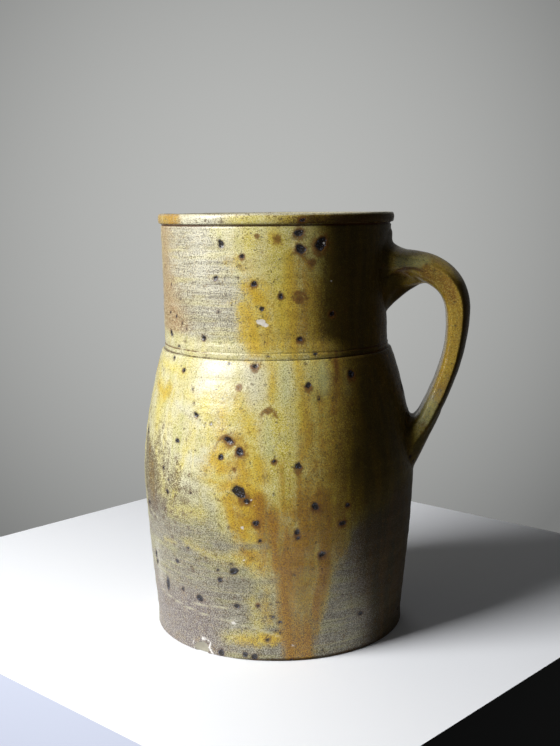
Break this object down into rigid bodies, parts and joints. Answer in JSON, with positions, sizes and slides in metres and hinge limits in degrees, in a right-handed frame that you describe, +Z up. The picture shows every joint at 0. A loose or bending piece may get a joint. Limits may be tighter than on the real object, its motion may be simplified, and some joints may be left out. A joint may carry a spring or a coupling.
{
  "type": "stoneware jug",
  "caption": "Wood-fired stoneware jug with a round belly, a wide straight neck and a pulled strap handle, for holding and pouring liquids.",
  "frame": {"origin": "on the jug's axis, on the flat face it stands on", "axes": "+Z up along the jug's axis, handle along +X"},
  "size_m": [0.2143, 0.1784, 0.27],
  "materials": {
    "belly_glaze": "glossy ash and salt glaze, ochre and olive, with iron spots",
    "collar_glaze": "satin to glossy ash glaze over combed clay",
    "handle_glaze": "glossy golden ochre glaze",
    "wad_glaze": "dark brown glaze"
  },
  "bodies": {
    "root": {"belly": "belly_glaze", "neck_collar": "collar_glaze", "handle": "handle_glaze", "upper_join_wad": "wad_glaze", "lower_join_wad": "wad_glaze"}
  },
  "joints": []
}
